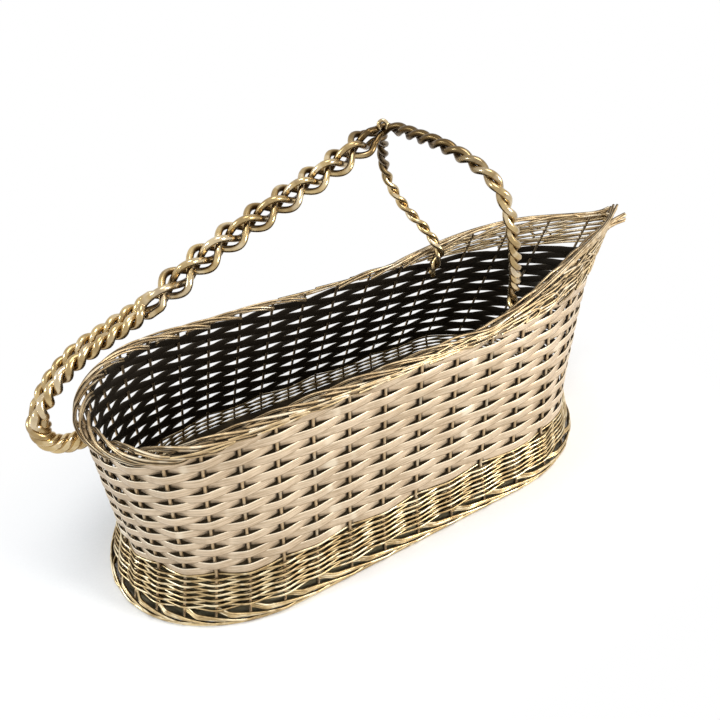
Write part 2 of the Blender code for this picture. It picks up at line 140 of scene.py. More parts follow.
def rim_half(steps=90):
    """Half of the rim's plan: a round rear, long sides and a pointed lip."""
    turn = np.linspace(0.0, math.pi / 2, steps)
    rear_centre = RIM_REAR_END - RIM_REAR
    rear = np.stack([rear_centre - RIM_REAR_END * np.cos(turn), RIM_REAR_WIDTH * np.sin(turn)], 1)
    along = np.linspace(0.0, 1.0, steps)[1:]
    side_x = rear_centre + (RIM_FRONT_X - rear_centre) * along
    side_y = RIM_REAR_WIDTH + (RIM_FRONT_WIDTH - RIM_REAR_WIDTH) * smooth_step(along)
    front_x = RIM_FRONT_X + (RIM_TIP_X - RIM_FRONT_X) * along
    front_y = RIM_FRONT_WIDTH * (1.0 - along ** RIM_TIP_POWER)
    return np.concatenate([rear, np.stack([side_x, side_y], 1), np.stack([front_x, front_y], 1)])


def measured(outline):
    """An outline with the share of its length at each point."""
    steps = np.linalg.norm(np.diff(outline, axis=0), axis=1)
    length = np.concatenate([[0.0], np.cumsum(steps)])
    return outline, length / length[-1]


FOOT_LINE = measured(stadium_half(**FOOT, inset=RING_MIDDLE))
WAIST_LINE = measured(stadium_half(**WAIST))
RIM_LINE = measured(rim_half())


def on_line(line, share):
    outline, shares = line
    return np.stack([np.interp(share, shares, outline[:, axis]) for axis in (0, 1)], -1)


def rim_height(x):
    rise = np.clip((x - LIP_START_X) / LIP_LENGTH, 0.0, 1.0)
    return RIM_Z + LIP_RISE * np.sin(math.pi / 2 * rise) ** 1.15


def place_share(place):
    """The signed share of a place counted in stakes, from the rear round the near side."""
    half = np.where(place <= STAKES_PER_SIDE, place, ROUND - place) / STAKES_PER_SIDE
    share = half - STAKE_BUNCHING * np.sin(math.pi * half)
    return np.where(place <= STAKES_PER_SIDE, -share, share)


def top_height(place):
    """The height of the rim's top line at a place."""
    return rim_height(on_line(RIM_LINE, np.abs(place_share(np.mod(place, ROUND))))[..., 0])


def wall(place, z):
    """Points in the middle of the wall at places and heights."""
    place, z = np.broadcast_arrays(np.mod(place, ROUND), np.asarray(z, float))
    share = place_share(place)
    side = np.where(place <= STAKES_PER_SIDE, -1.0, 1.0)
    waist, foot = on_line(WAIST_LINE, np.abs(share)), on_line(FOOT_LINE, np.abs(share))
    rim = on_line(RIM_LINE, np.abs(share))
    above = ((z - WAIST_Z) / (rim_height(rim[..., 0]) - WAIST_Z))[..., None]
    below = ((WAIST_Z - z) / WAIST_Z)[..., None]
    spot = np.where(above >= 0.0, waist + (rim - waist) * above, waist + (foot - waist) * below)
    return np.stack([spot[..., 0], side * spot[..., 1], z], -1)


def outward(place, z):
    """The level direction out of the basket at places and heights."""
    along = wall(place + 0.12, z) - wall(place - 0.12, z)
    normal = np.stack([along[..., 1], -along[..., 0], np.zeros(along.shape[:-1])], -1)
    return normal / np.linalg.norm(normal, axis=-1, keepdims=True)


def wall_facing(place, z):
    """The direction square to the wall, with its lean."""
    rise = wall(place, z + 1.0) - wall(place, z)
    along = wall(place + 0.12, z) - wall(place - 0.12, z)
    normal = np.cross(along, rise)
    return normal / np.linalg.norm(normal, axis=-1, keepdims=True)


def wander(place, seed, reach):
    """A small smooth drift along a row, that closes after one round."""
    random = np.random.default_rng(seed)
    turn = math.tau * place / ROUND
    drift = sum(random.uniform(-1, 1) * np.sin(turn * lobes + random.uniform(0, math.tau))
                for lobes in (3, 7, 13, 19))
    return reach * drift / 2.0


def weave(place, parity):
    """1 outside a stake and -1 inside the next, with a bend round each stake."""
    turn = math.pi * place
    wave = (np.sin(turn) - 0.07 * np.sin(3 * turn)) / 1.07
    return -wave * (-1.0) ** parity


def rounded_row(step=0.035, start=0.0, end=float(ROUND)):
    return np.linspace(start, end, int(round((end - start) / step)) + 1)


# ---------------------------------------------------------------- paths and swept pieces

def path(points, facing=None, size=None, core=None, shade=None, closed=False):
    """One path for a swept piece, with the direction it faces and its size at each point."""
    points = np.asarray(points, float)
    count = len(points)
    gaps = np.linalg.norm(np.diff(points, axis=0), axis=1)
    return dict(points=points, closed=closed, along=np.concatenate([[0.0], np.cumsum(gaps)]),
                facing=np.tile((0.0, 0.0, 1.0), (count, 1)) if facing is None else facing,
                size=np.ones(count) if size is None else size,
                core=points if core is None else core,
                shade=np.zeros(count) if shade is None else shade)


def to_model(points):
    """Millimetres from the middle of the foot to metres in the model's frame."""
    return (points + (FOOT_X, 0.0, 0.0)) * MM


def linked(name, data):
    """A new object in the scene."""
    item = bpy.data.objects.new(name, data)
    bpy.context.scene.collection.objects.link(item)
    return item


def path_object(name, paths):
    """Paths as loose edges, with what the sweep reads stored on their points."""
    counts = [len(item["points"]) for item in paths]
    edges, first = [], 0
    for item, count in zip(paths, counts):
        edges += [(first + step, first + step + 1) for step in range(count - 1)]
        if item["closed"]:
            edges.append((first + count - 1, first))
        first += count
    values = {key: np.concatenate([item[key] for item in paths])
              for key in ("points", "facing", "core", "size", "along", "shade")}
    own = sum(map(ord, name)) * 0.137
    values["lot"] = np.repeat([(own + number * 0.618) % 1.0 for number in range(len(paths))],
                              counts)
    values["core"] = to_model(values["core"])
    mesh = bpy.data.meshes.new(name)
    mesh.from_pydata(to_model(values.pop("points")), edges, [])
    for key, value in values.items():
        kind, field = ("FLOAT_VECTOR", "vector") if value.ndim == 2 else ("FLOAT", "value")
        mesh.attributes.new(key, kind, "POINT").data.foreach_set(field, value.ravel())
    return linked(name, mesh)


class Tree:
    """A geometry or shader tree with short ways to add and join nodes."""

    def __init__(self, tree):
        self.tree = tree

    def join(self, node, inputs):
        """Link a node's inputs to sockets, or set them to plain values."""
        for key, value in inputs.items():
            if isinstance(value, bpy.types.NodeSocket):
                self.tree.links.new(value, node.inputs[key])
            else:
                node.inputs[key].default_value = value

    def add(self, kind, inputs=None, **settings):
        node = self.tree.nodes.new(kind)
        for key, value in settings.items():
            setattr(node, key, value)
        self.join(node, inputs or {})
        return node

    def math(self, operation, first, second=0.0, clamp=False):
        return self.add("ShaderNodeMath", {0: first, 1: second}, operation=operation,
                        use_clamp=clamp).outputs[0]

    def plus(self, first, second):
        return self.math("ADD", first, second)

    def minus(self, first, second, clamp=False):
        return self.math("SUBTRACT", first, second, clamp)

    def times(self, first, second, clamp=False):
        return self.math("MULTIPLY", first, second, clamp)

    def vector(self, operation, first, second=None, out=0):
        inputs = {0: first} if second is None else {0: first, 1: second}
        return self.add("ShaderNodeVectorMath", inputs, operation=operation).outputs[out]


SOCKET_KINDS = {float: "Float", int: "Int", tuple: "Color"}


def node_group(name, kind, inputs, outputs):
    """A node group with its inputs and its end. An input without a default has its kind."""
    group = bpy.data.node_groups.new(name, kind)
    for label, given in inputs.items():
        socket_kind = SOCKET_KINDS.get(type(given), given)
        socket = group.interface.new_socket(label, in_out="INPUT",
                                            socket_type="NodeSocket" + socket_kind)
        if given != socket_kind:
            socket.default_value = given
    for label, socket_kind in outputs.items():
        group.interface.new_socket(label, in_out="OUTPUT", socket_type="NodeSocket" + socket_kind)
    tree = Tree(group)
    return tree, tree.add("NodeGroupInput").outputs, tree.add("NodeGroupOutput")


def read(tree, name, kind="FLOAT"):
    return tree.add("GeometryNodeInputNamedAttribute", {"Name": name},
                    data_type=kind).outputs["Attribute"]


def store(tree, geometry, name, value):
    return tree.add("GeometryNodeStoreNamedAttribute", {
        "Geometry": geometry, "Name": name, "Value": value},
        data_type="FLOAT", domain="POINT").outputs[0]


def sweep_group(name, inputs):
    """The start of a group that sweeps a section along paths, with the paths as a curve."""
    tree, given, end = node_group(name, "GeometryNodeTree", {
        "Paths": "Geometry", **inputs, "Metal": "Material"}, {"Piece": "Geometry"})
    curve = tree.add("GeometryNodeMeshToCurve", {"Mesh": given["Paths"]}).outputs[0]
    return tree, given, end, curve


def swept(tree, given, end, curve, section):
    """Sweep the section, store how far each point lies out from its core, and end the group."""
    mesh = tree.add("GeometryNodeCurveToMesh", {
        "Curve": curve, "Profile Curve": section, "Scale": read(tree, "size"),
        "Fill Caps": True}).outputs[0]
    position = tree.add("GeometryNodeInputPosition").outputs[0]
    normal = tree.add("GeometryNodeInputNormal").outputs[0]
    arm = tree.vector("SUBTRACT", position, read(tree, "core", "FLOAT_VECTOR"))
    out = tree.vector("DOT_PRODUCT", tree.vector("NORMALIZE", arm), normal, out=1)
    mesh = store(tree, mesh, "outside", out)
    mesh = tree.add("GeometryNodeSetShadeSmooth", {"Geometry": mesh}).outputs[0]
    mesh = tree.add("GeometryNodeRealizeInstances", {"Geometry": mesh}).outputs[0]
    done = tree.add("GeometryNodeSetMaterial", {"Geometry": mesh, "Material": given["Metal"]})
    tree.join(end, {0: done.outputs[0]})
    return tree.tree


def round_wires(radius, sides):
    """Round wires along paths: the group and its settings."""
    tree, given, end, curve = sweep_group("Wires along paths", {"Wire radius": MM, "Sides": 8})
    section = tree.add("GeometryNodeCurvePrimitiveCircle", {
        "Resolution": given["Sides"], "Radius": given["Wire radius"]}).outputs[0]
    return swept(tree, given, end, curve, section), {"Wire radius": radius, "Sides": sides}


def flat_strips(width, thickness, corner):
    """Flat strips with eased corners along paths: the group and its settings."""
    sizes = {"Strip width": width, "Strip thickness": thickness, "Corner": corner}
    tree, given, end, curve = sweep_group("Strips along paths", sizes)
    curve = tree.add("GeometryNodeSetCurveNormal", {
        "Curve": curve, "Normal": read(tree, "facing", "FLOAT_VECTOR")}, mode="FREE").outputs[0]
    section = tree.add("GeometryNodeCurvePrimitiveQuadrilateral", {
        "Width": given["Strip thickness"], "Height": given["Strip width"]}).outputs[0]
    section = tree.add("GeometryNodeFilletCurve", {
        "Curve": section, "Count": 2, "Radius": given["Corner"]}, mode="POLY").outputs[0]
    place = tree.add("GeometryNodeInputPosition").outputs[0]
    across = tree.add("ShaderNodeSeparateXYZ", {0: place}).outputs[1]
    return swept(tree, given, end, curve, store(tree, section, "across", across)), sizes


def lay(name, paths, section, metal_name, slot, *nodes):
    """Sweep a section along paths as a plain mesh, and fix it to the basket.

    The nodes are what the piece stands for; the slot is not used.
    """
    group, settings = section
    source = path_object(name + "_paths", paths)
    modifier = source.modifiers.new("sweep", "NODES")
    modifier.node_group = group
    settings = {**settings, "Metal": bpy.data.materials[metal_name]}
    for item in group.interface.items_tree:
        if item.in_out == "INPUT" and item.name in settings:
            modifier[item.identifier] = settings[item.name]
    graph = bpy.context.evaluated_depsgraph_get()
    mesh = bpy.data.meshes.new_from_object(source.evaluated_get(graph))
    bpy.data.objects.remove(source)
    mesh.name = name
    if not mesh.polygons:
        raise RuntimeError(name + " came out empty")
    piece = linked(name, mesh)
    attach(piece, "root")
    if nodes:
        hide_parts(*nodes)


# ---------------------------------------------------------------- materials

def mix_colour(tree, share, first, second, blend="MIX"):
    return tree.add("ShaderNodeMix", {0: share, 6: first, 7: second}, data_type="RGBA",
                    blend_type=blend).outputs[2]


def remap(tree, value, low, high, to_low=0.0, to_high=1.0):
    return tree.add("ShaderNodeMapRange", {0: value, 1: low, 2: high, 3: to_low, 4: to_high},
                    clamp=True, interpolation_type="SMOOTHSTEP").outputs[0]


def noise(tree, place, scale, detail=3.0, rough=0.55):
    return tree.add("ShaderNodeTexNoise", {"Vector": place, "Scale": scale, "Detail": detail,
                                           "Roughness": rough}).outputs["Fac"]


def stored(tree, name):
    """A value that the sweep left on the mesh."""
    return tree.add("ShaderNodeAttribute", attribute_name=name).outputs["Fac"]


def aging_group():
    """Tarnished metal: cloudy tarnish, painted shade on hollows and inner faces, and brightened
    high places.
    """
    tree, given, end = node_group("Old metal and painted shade", "ShaderNodeTree", {
        "Metal colour": (0.8, 0.6, 0.4, 1.0), "Tarnish colour": (0.2, 0.14, 0.06, 1.0),
        "Bright colour": (0.95, 0.9, 0.8, 1.0), "Painted shade colour": (0.02, 0.012, 0.006, 1.0),
        "Tarnish": 0.3, "Painted shade": 0.0, "Wear": 0.2, "Roughness": 0.3},
        {"Colour": "Color", "Roughness": "Float", "Height": "Float"})
    place = tree.add("ShaderNodeTexCoord").outputs["Object"]
    cloud = noise(tree, place, 55.0, 4.0, 0.62)
    spots = noise(tree, place, 420.0, 3.0, 0.6)
    dull = remap(tree, tree.plus(cloud, tree.times(spots, 0.25)), 0.5, 0.78)
    dull = tree.times(dull, given["Tarnish"], clamp=True)
    rub = remap(tree, noise(tree, place, 130.0, 2.0, 0.5), 0.52, 0.7)
    rub = tree.times(rub, given["Wear"], clamp=True)
    colour = given["Metal colour"]
    # The last mix is painted shade on hollows and inner faces.
    for share, name in ((dull, "Tarnish"), (rub, "Bright"), (given["Painted shade"], "Painted shade")):
        colour = mix_colour(tree, share, colour, given[name + " colour"])
    dull = tree.math("MAXIMUM", dull, given["Painted shade"])
    rough = tree.plus(given["Roughness"], tree.times(dull, 0.22))
    rough = tree.plus(rough, tree.times(tree.minus(spots, 0.5), 0.16))
    rough = tree.minus(rough, tree.times(rub, 0.08), clamp=True)
    tree.join(end, {"Colour": colour, "Roughness": rough, "Height": spots})


def streak_group():
    """Fine lines along a drawn or rolled strip or wire, with its blotches and its two edges; the
    metals use the pale blotches as painted highlights and polish wear, the upper edge as a painted
    highlight and the lower edge as painted shade.
    """
    tree, given, end = node_group("Drawn streaks", "ShaderNodeTree", {
        "Length of streak": 9.0, "Lines across": 2600.0, "Half width": 0.00185},
        {"Streak": "Float", "Blotch": "Float", "Lower edge": "Float", "Upper edge": "Float"})
    length = given["Length of streak"]
    along, across, lot = (stored(tree, name) for name in ("along", "across", "lot"))
    place = tree.add("ShaderNodeCombineXYZ", {
        0: tree.math("DIVIDE", along, length),
        1: tree.times(across, given["Lines across"]), 2: tree.times(lot, 37.0)}).outputs[0]
    slow = tree.add("ShaderNodeCombineXYZ", {
        0: tree.math("DIVIDE", along, tree.times(length, 2.2)),
        1: tree.times(lot, 23.0)}).outputs[0]
    side = tree.math("DIVIDE", across, given["Half width"])
    tree.join(end, {"Streak": noise(tree, place, 1.0, 3.0, 0.6),
                    "Blotch": noise(tree, slow, 1.0, 2.0, 0.5),
                    # The two edges are masks for a painted highlight above and painted shade
                    # below.
                    "Lower edge": remap(tree, side, 0.70, 0.95, 0.0, 0.75),
                    "Upper edge": remap(tree, side, -0.72, -0.92, 0.0, 0.6)})


def new_material(name):
    """A material, its tree and its main shader."""
    material = bpy.data.materials.new(name)
    material.use_nodes = True
    nodes = material.node_tree.nodes
    return material, Tree(material.node_tree), nodes["Principled BSDF"]


def metal(name, colours, amounts, roughness, metallic=1.0, painted_shade_range=None, streaks=None):
    """A metal whose colour, gloss and relief change over the surface.

    The colours are the metal's own, its tarnish, its bright places and the painted shade of its
    hollows and inner faces, and the amounts are of tarnish and of wear. The painted shade range
    says how far out the painted shade of the inner side starts and ends, and how strong it is;
    below 0 the two sides of a wire differ. The shade a path stores is painted shade too. Streaks,
    for a metal with hollows, are their length, the lines across, the strength of dark lines and of
    pale blotches, which are painted highlights and polish wear, and the level from which the pale
    ones show. With streaks a strip also gets a painted highlight on its upper edge and painted
    shade on its lower edge.
    """
    _, tree, shader = new_material(name)
    own, tarnish, bright, dark = ((*colour, 1.0) for colour in colours)
    aged_and_shaded = tree.add("ShaderNodeGroup", {
        "Metal colour": own, "Tarnish colour": tarnish, "Bright colour": bright,
        "Painted shade colour": dark, "Tarnish": amounts[0], "Wear": amounts[1],
        "Roughness": roughness}, node_tree=bpy.data.node_groups["Old metal and painted shade"])
    # Painted shade: the inward side of each wire and strip is darkened to the fourth colour, and
    # so is wherever a path stores shade.
    if painted_shade_range:
        outside = stored(tree, "outside")
        if painted_shade_range[0] >= 0.0:
            outside = tree.math("ABSOLUTE", outside)
        shade_share = remap(tree, outside, painted_shade_range[0], painted_shade_range[1], painted_shade_range[2], 0.0)
        shade_share = tree.math("MAXIMUM", shade_share, stored(tree, "shade"))
        tree.join(aged_and_shaded, {"Painted shade": shade_share})
    result, height = aged_and_shaded.outputs["Colour"], aged_and_shaded.outputs["Height"]
    if streaks:
        length, lines, dark_lines, pale_lines, level = streaks
        drawn = tree.add("ShaderNodeGroup", {"Length of streak": length, "Lines across": lines},
                         node_tree=bpy.data.node_groups["Drawn streaks"]).outputs
        dim = remap(tree, drawn["Streak"], 0.3, 0.62, dark_lines, 0.0)
        pale = remap(tree, drawn["Blotch"], level, level + 0.06, 0.0, pale_lines)
        # Over the streaks: pale blotches as painted highlights and polish wear, a painted
        # highlight on the upper edge, painted shade on the lower edge, and the painted shade of
        # the hollows again.
        for share, colour in ((dim, tarnish), (pale, bright), (drawn["Upper edge"], bright),
                              (drawn["Lower edge"], tarnish), (shade_share, dark)):
            result = mix_colour(tree, share, result, colour)
        height = tree.plus(drawn["Streak"], tree.times(height, 0.4))
    bump = tree.add("ShaderNodeBump", {"Height": height, "Distance": RELIEF, "Strength": 0.6})
    tree.join(shader, {"Base Color": result, "Metallic": metallic, "Normal": bump.outputs[0],
                       "Roughness": aged_and_shaded.outputs["Roughness"]})


# ---------------------------------------------------------------- the pieces' paths

def wall_wire(place, z, out=0.0, **given):
    """A wire along the wall, that knows which of its sides faces out of the basket."""
    level = outward(place, z)
    points = wall(place, z) + np.reshape(out, (-1, 1)) * level
    return path(points, core=points - FAR_INSIDE * level, **given)


def strip_path(row, stake, thickness):
    """One row of flat strip, woven round the whole basket and pinched behind each stake."""
    parted = row in PARTED_ROWS
    place = rounded_row(start=0.5, end=ROUND - 0.5) if parted else rounded_row()[:-1]
    z = WAIST_Z + STRIP_PITCH * (row + 0.5) + wander(place, 40 + row, 0.22)
    reach = stake + thickness / 2 + STRIP_EASE + wander(place, 90 + row, 0.12)
    facing, inside = wall_facing(place, z), -weave(place, row)
    points = wall(place, z) - (inside * reach)[:, None] * facing
    # The stored shade is painted shade where the strip passes behind a stake.
    return path(points, facing=facing, core=points - FAR_INSIDE * facing,
                size=1.0 - STRIP_PINCH * smooth_step((inside - 0.3) / 0.7),
                shade=STRIP_SHADE * smooth_step((inside - 0.87) / 0.13), closed=not parted)


def stake_path(number):
    """One stake, from the foot band straight to the waist and on up to the border."""
    place = number + 0.5
    top = float(top_height(place)) - STAKE_BELOW_RIM
    z = np.concatenate([np.linspace(STAKE_FOOT, WAIST_Z, 9),
                        np.linspace(WAIST_Z, top, 16)[1:]])
    # The stake is painted paler in the skirt as painted light; the stored shade darkens it above
    # the waist.
    upper = smooth_step((z - WAIST_Z + 6.0) / 5.0)
    return wall_wire(np.full(len(z), place), z, shade=STAKE_SHADE * upper,
                     size=SKIRT_STAKE + (1.0 - SKIRT_STAKE) * upper)


def skirt_paths(rows, stake, radius):
    """Rows of the skirt: fine wires, each on the other side of a stake from the next."""
    place = rounded_row()[:-1]
    reach = SKIRT_STAKE * stake + radius - 0.05
    paths = []
    for row in rows:
        z = SKIRT_TOP_Z - SKIRT_PITCH * row + wander(place, 200 + row, 0.34)
        points = wall(place, z) + (weave(place, row) * reach)[:, None] * wall_facing(place, z)
        paths.append(path(points, core=points - FAR_INSIDE * outward(place, z), closed=True,
                          size=1.0 + wander(place, 260 + row, 0.14)))
    return paths


def scallop_paths(wires):
    """Bundles that leave the skirt at each stake and sweep down over the foot band."""
    share = np.linspace(0.0, 1.0, 60)
    drop = smooth_step(share) * 0.6 + share * 0.4
    swell = -0.6 + 2.7 * smooth_step(share / 0.22) - smooth_step((share - 0.8) / 0.2)
    paths = []
    for stake in range(ROUND):
        for wire in range(wires):
            z = SCALLOP_TOP - wire * 1.15 * (1 - 0.3 * share) - (6.9 - wire * 0.9) * drop
            out = swell + 0.25 * np.sin(math.pi * share + wire)
            paths.append(wall_wire(stake + 0.5 + SCALLOP_REACH * share, z, out))
    return paths


def foot_edge_paths(radius):
    """Wires along the bottom edge of the foot."""
    place = rounded_row()[:-1]
    return [wall_wire(place, np.full(len(place), z), out, closed=True)
            for z, out in ((radius, 1.2), (2.6 * radius, 1.5))]


def eased(values, passes=8):
    """The same values with their corners rounded off."""
    values = values.copy()
    for _ in range(passes):
        values[1:-1] = (values[:-2] + 2 * values[1:-1] + values[2:]) / 4
    return values


def laid_wire(start, wire, radius, random):
    """A border wire: up inside the rim, over it, and down outside to its tucked end."""
    step = np.linspace(0.0, 3.75, 90)
    place = start + step
    depth = np.interp(step, [0.0, 0.45, 1.0, 1.5, 2.0, 2.6, 3.15, 3.4, 3.75],
                      [4.6, 1.9, 0.5, 0.8, 1.8, 2.9, 3.9, 4.8, 5.0])
    out = np.interp(step, [0.0, 0.5, 1.0, 1.5, 2.0, 2.6, 3.3, 3.6, 3.75],
                    [-1.9, -2.0, -1.3, -0.2, 1.0, 1.7, 1.8, 1.0, -0.7])
    rear = 1.0 + 0.45 * smooth_step(1.0 - np.abs((place + 18.0) % ROUND - 18.0) / 6.0)
    apart = 2 * radius + 0.08 + 0.5 * np.exp(-((step - 0.9) / 0.6) ** 2)
    depth = eased(depth) + radius + wire * apart + random.uniform(-0.25, 0.25)
    depth = depth + 0.2 * np.sin(step * 2.1 + random.uniform(0, math.tau))
    out = eased(out) * rear + random.uniform(-0.25, 0.25)
    z = top_height(place) - depth
    points = wall(place, z) + out[:, None] * outward(place, z)
    return path(points, core=wall(place, top_height(place) - BORDER_CORE))


def lip_wire(start, way, depth_end, layer, end, radius, random):
    """A wire that crosses the rim and runs on along the lip to the cut bundle at its tip."""
    last = STAKES_PER_SIDE - 0.42 * way
    step = np.linspace(0.0, abs(last - start), 110)
    place = start + way * step
    depth = np.interp(step, [0.0, 0.45, 1.0, 1.6, step[-1]], [4.6, 1.9, 0.5, 1.0, depth_end])
    out = np.interp(step, [0.0, 0.5, 1.0, 2.0, step[-1]], [-1.9, -2.0, -1.2, layer, layer * 0.6])
    depth = eased(depth) + radius + 0.3 * np.sin(step * 1.3 + random.uniform(0, math.tau))
    z = top_height(place) - depth
    points = wall(place, z) + eased(out)[:, None] * outward(place, z)
    share = np.linspace(0.0, 1.0, 14)[1:, None]
    points = np.concatenate([points, points[-1] + (end - points[-1]) * share])
    points[85:] = np.stack([eased(points[85:, axis], 30) for axis in range(3)], 1)
    size = 1.0 + 0.35 * smooth_step(np.linspace(-0.5, 1.5, len(points)))
    return path(points, size=size, core=points + (0.0, FAR_INSIDE * way, 0.0))


def border_paths(wires, radius):
    """The laid border, with the lip's long wires and the cut bundles at its tip."""
    paths = []
    for stake in range(ROUND):
        random = np.random.default_rng(500 + stake)
        near = stake if stake < STAKES_PER_SIDE else ROUND - 1 - stake
        way = 1.0 if stake < STAKES_PER_SIDE else -1.0
        for wire in range(wires):
            if near < LIP_STAKES.start:
                paths.append(laid_wire(stake + 0.5, wire, radius, random))
            elif near in LIP_STAKES:
                number = (near - LIP_STAKES.start) * wires + wire
                turn, lower = number * 2.4, number / wires
                end = np.array(PRONGS[2 if way < 0 else near % 2]) + (
                    -0.5 * lower, 1.5 * math.cos(turn), 1.6 * math.sin(turn) - 0.25 * lower)
                paths.append(lip_wire(stake + 0.5, way, 0.4 + 0.55 * number,
                                      1.5 + 0.8 * (wire % 2), end, radius, random))
    return paths


def lip_paths(radius, stake):
    """Wires that fan out over the lip from the top strip to its leading edge, both sides."""
    share = np.linspace(0.0, 1.0, 90)
    paths = []
    for number in LIP_WIRES:
        random = np.random.default_rng(700 + number)
        start = 11.2 + 0.54 * number
        place = start + (STAKES_PER_SIDE - 0.02 - start) * share
        low = STRIPS_TOP + 0.3 + radius + random.uniform(-0.2, 0.2)
        high = RIM_Z + LIP_RISE - 3.6 - 1.2 * number
        z = low + (high - low) * share ** 1.15
        z = z + wander(place, 740 + number, 0.9) * np.sin(math.pi * share)
        z = np.minimum(z, top_height(place) - 2.2)
        for where in (place, ROUND - place):
            paths.append(wall_wire(where, z, 0.9 + weave(where, number) * (stake + radius - 0.3)))
    return paths


def tail_paths():
    """Wire ends that bend down round a stake and back along the top strip."""
    share, knots = np.linspace(0, 1, 50), [0.0, 0.3, 0.5, 0.6, 0.68, 0.8, 1.0]
    ahead = eased(np.interp(share, knots, [-1.5, -0.7, -0.1, 0.12, 0.10, -0.2, -0.75]), 3)
    down = eased(np.interp(share, knots, [0.0, 0.25, 0.42, 0.62, 0.82, 0.97, 1.0]), 3)
    paths = []
    for number in [*range(5, 17), *np.arange(10.5, 17.0, 1.5)]:
        random = np.random.default_rng(800 + int(10 * number))
        spot = number + 0.5 + random.uniform(-0.3, 0.3)
        span = 1.0 if number % 1 == 0 else random.uniform(0.45, 0.8)
        place = spot + span * ahead
        top = top_height(place) - STAKE_BELOW_RIM - 5.0 * (1.0 - span)
        z = top + (STRIPS_TOP + 0.2 - top) * down
        paths += [wall_wire(where, z, 1.9) for where in (place, ROUND - place)]
    return paths


def edge_wrap_paths():
    """Short turns of wire bound round the lip's leading edge."""
    turn, across = np.linspace(0.0, math.tau, 25)[:-1], np.array([0.0, 1.0, 0.0])
    tip, inset = np.array([STAKES_PER_SIDE]), (1.2, 0.0, 0.0)
    paths = []
    for number in range(7):
        for beside in (-0.45, 0.45):
            z = STRIPS_TOP + 2.6 + 2.3 * number + beside
            centre = wall(tip, z)[0] - inset
            rise = wall(tip, z + 1.0)[0] - inset - centre
            ahead = np.cross(across, rise / np.linalg.norm(rise))
            ring = (centre + 1.75 * np.cos(turn)[:, None] * ahead
                    + 1.9 * np.sin(turn)[:, None] * across)
            paths.append(path(ring, core=np.tile(centre, (len(turn), 1)), closed=True))
    return paths


# ---------------------------------------------------------------- the handle's strands

def through(controls, beyond=None, steps=40):
    """A smooth curve through control points, as evenly spaced points about 0.5 mm apart."""
    controls = np.array(controls, float)
    if beyond is None:
        beyond = 2 * controls[-1] - controls[-2]
    ends = np.concatenate([[2 * controls[0] - controls[1]], controls, [beyond]])
    share = (np.arange(steps) / steps)[:, None]
    line = []
    for before, start, end, after in zip(ends, ends[1:], ends[2:], ends[3:]):
        bend = (2 * before - 5 * start + 4 * end - after) * share ** 2
        twist = (-before + 3 * start - 3 * end + after) * share ** 3
        line.append(0.5 * (2 * start + (end - before) * share + bend + twist))
    line = np.concatenate([*line, controls[-1:]])
    length = np.concatenate([[0.0], np.cumsum(np.linalg.norm(np.diff(line, axis=0), axis=1))])
    even = np.linspace(0.0, length[-1], max(int(length[-1] / 0.5), 2))
    return np.stack([np.interp(even, length, line[:, i]) for i in range(3)], 1)


def carried_frames(line, first_side):
    """A side and an upper direction along a path, carried on without twist."""
    along = np.gradient(line, axis=0)
    along /= np.linalg.norm(along, axis=1)[:, None]
    sides, side = [], np.array(first_side, float)
    for heading in along:
        side = side - heading * (side @ heading)
        side = side / np.linalg.norm(side)
        sides.append(side)
    sides = np.array(sides)
    return sides, np.cross(sides, along)


def rolled(across, above, angle):
    """Two measures square to each other, turned by an angle."""
    return (across * np.cos(angle) - above * np.sin(angle),
            across * np.sin(angle) + above * np.cos(angle))


def set_off(line, frames, across, above):
    """Points that lie across and above a centre line."""
    return line + across[:, None] * frames[0] + above[:, None] * frames[1]


def hoop_part(leg, start_angle, braid_path, frames):
    """A strand in the hoop, to where it opens into the braid: centre line, strand and radii."""
    pair = 1.0 if leg is NEAR_LEG else -1.0
    shift = pair * (INNER_HALF * frames[1][0] - OUTER_HALF * frames[0][0])
    centre = through(leg + [tuple(braid_path[0] + shift)], beyond=braid_path[18] + shift)
    back_side, back_upper = carried_frames(centre[::-1], frames[0][0])
    far = np.linspace(0.0, 1.0, len(centre))
    left = 0.5 * (len(centre) - 1) * (1.0 - far)
    open_up = smooth_step(1.0 - left / MERGE_LENGTH)
    radius = HOOP_RADIUS + (BRAID_RADIUS - HOOP_RADIUS) * smooth_step(far)
    reach = (radius + HOOP_REACH) * (1 - open_up) + PAIR_REACH * open_up
    second = (start_angle // 90) % 2 == 1
    base = PAIR_TURN if (pair > 0) == second else PAIR_TURN + math.pi
    lay = np.maximum(left - MERGE_LENGTH, 0.0)[::-1]
    pitch = HOOP_PITCHES[0] + (HOOP_PITCHES[1] - HOOP_PITCHES[0]) * smooth_step(lay / 40.0)
    angle = base - math.tau * np.cumsum(np.diff(lay, prepend=0.0) / pitch)[::-1]
    line = set_off(centre, (back_side[::-1], -back_upper[::-1]),
                  reach * np.cos(angle), reach * np.sin(angle))
    return centre, line, radius


def braid_part(start_angle, hand, braid_path, frames):
    """A strand in the braid, on a flattened round, and the quarter turn at which it ends."""
    share = np.linspace(0.0, 1.0, len(braid_path))
    azimuth = math.radians(start_angle) + hand * math.pi / 2 * BRAID_CROSSINGS * share
    lean = math.radians(45.0 if hand > 0 else 135.0)
    across, above = rolled(BRAID_OUTER * np.cos(azimuth - lean),
                           BRAID_INNER * np.sin(azimuth - lean), lean)
    roll = math.radians(BRAID_ROLL) * smooth_step(share / 0.12) * smooth_step((1 - share) / 0.12)
    line = set_off(braid_path, frames, *rolled(across, above, roll))
    return line, round(math.degrees(azimuth[-1]) % 360.0 / 90.0) % 4


